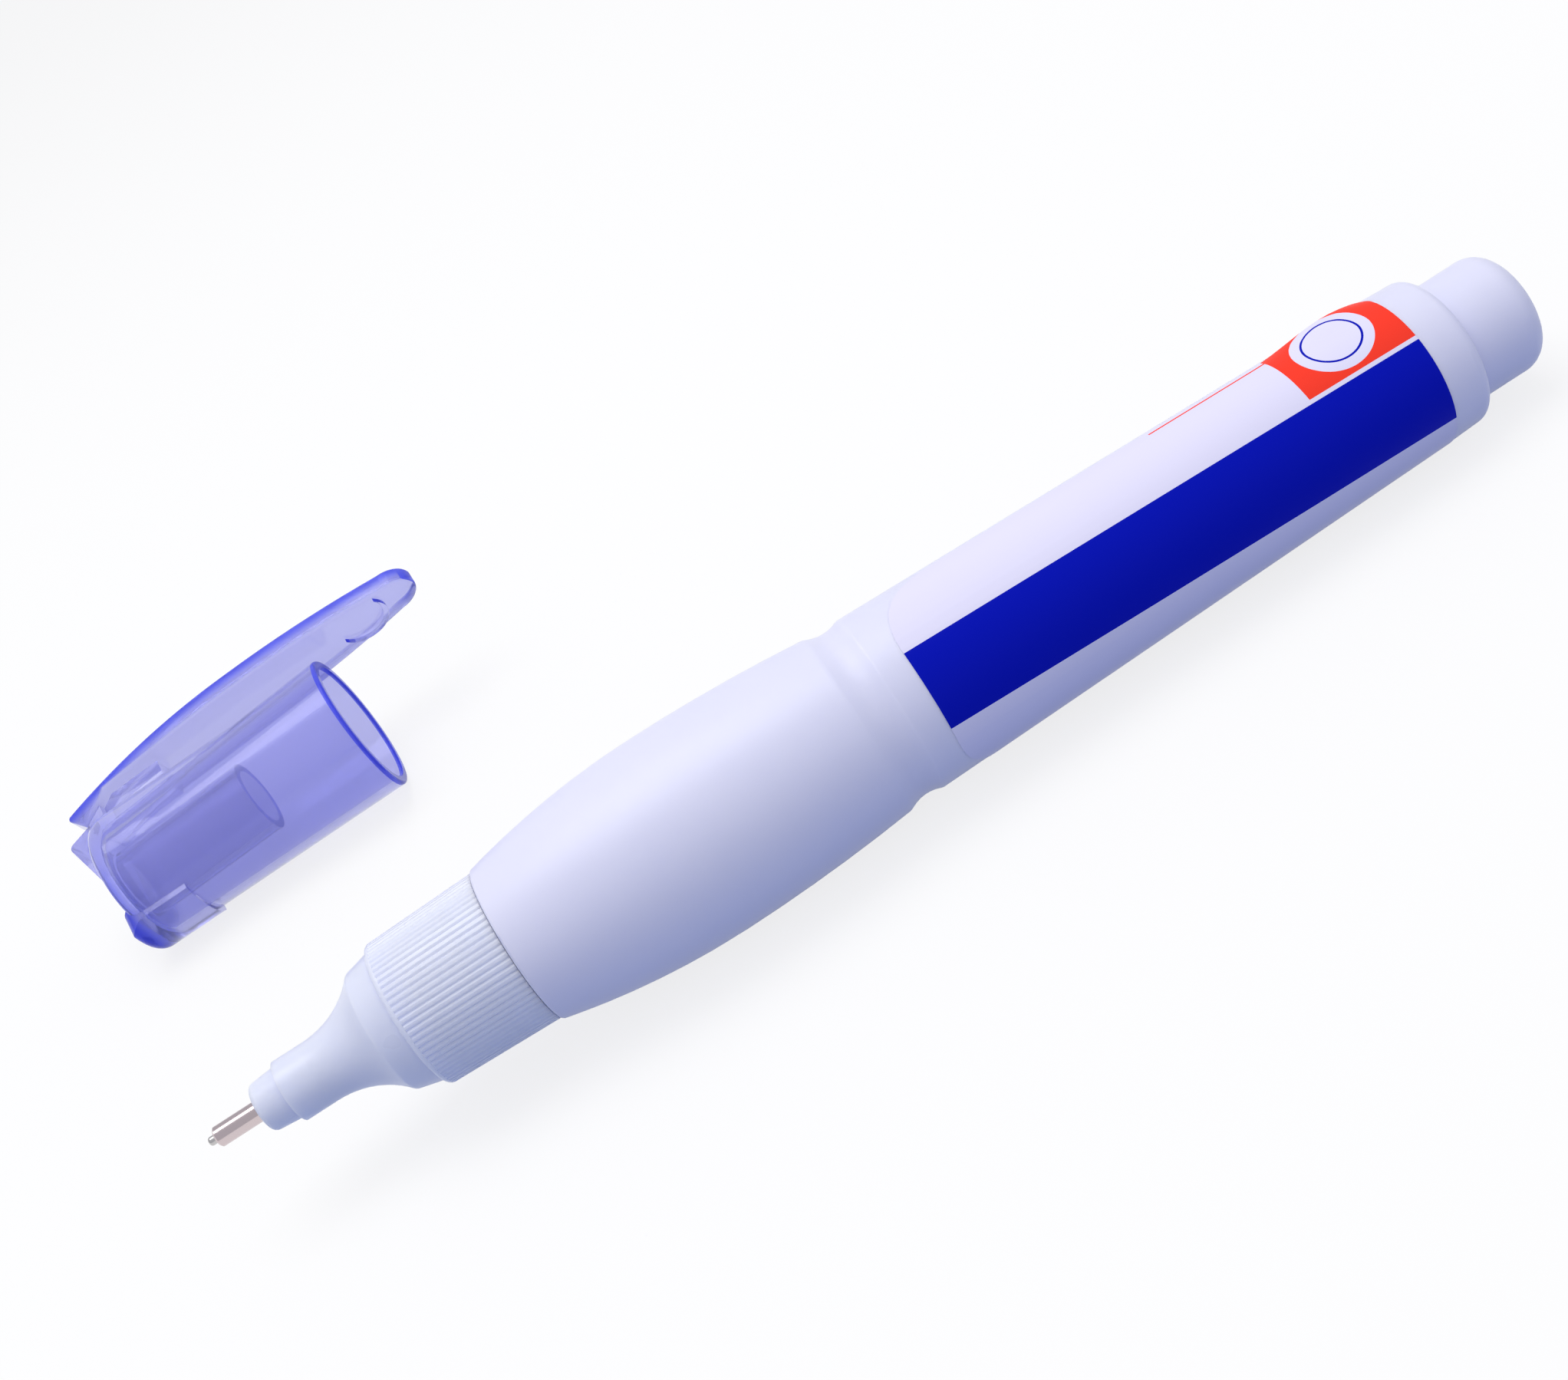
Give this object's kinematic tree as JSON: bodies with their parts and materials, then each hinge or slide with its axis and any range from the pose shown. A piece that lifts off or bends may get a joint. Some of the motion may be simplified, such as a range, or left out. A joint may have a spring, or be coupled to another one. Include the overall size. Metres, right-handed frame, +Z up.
{
  "type": "correction pen",
  "caption": "Squeeze correction pen with a bulged bottle, ribbed nose and sprung needle tip, lying beside its clear clip cap.",
  "frame": {"origin": "on the floor under the middle of the set, pen and cap together", "axes": "+X along the pen from its needle to its tail, +Y from the pen towards the cap, +Z up"},
  "size_m": [0.1404, 0.0762, 0.0186],
  "materials": {
    "bottle_polyethylene": "satin",
    "nozzle_polypropylene": "semi-gloss",
    "label_film": "printed",
    "gasket_rubber": "matte",
    "tip_nickel": "polished",
    "needle_steel": "ground",
    "valve_acetal": "moulded",
    "spring_steel": "drawn",
    "ball_steel": "polished",
    "cap_clear_plastic": "clear tinted"
  },
  "bodies": {
    "pen": {"bottle": "bottle_polyethylene", "label": "label_film", "nozzle": "nozzle_polypropylene", "gasket": "gasket_rubber", "tip_tube": "tip_nickel", "spring_retainer": "valve_acetal", "valve_spring": "spring_steel"},
    "needle_valve": {"needle": "needle_steel", "valve_head": "valve_acetal"},
    "ball": {"mixing_ball": "ball_steel"},
    "cap": {"cap": "cap_clear_plastic"}
  },
  "joints": [
    {"name": "needle_press", "type": "slide", "parent": "pen", "child": "needle_valve", "axis": [0.9995, 0, -0.0321], "range_m": [0, 0.00065], "stiffness_N_per_m": 100, "deforming": ["valve_spring"]},
    {"name": "ball_roll", "type": "slide", "parent": "pen", "child": "ball", "axis": [1, 0, -0.0092], "range_m": [-0.022, 0.0235]},
    {"name": "cap_pull", "type": "slide", "parent": "pen", "child": "cap", "axis": [-1, 0, 0], "range_m": [0, 0.031]}
  ]
}
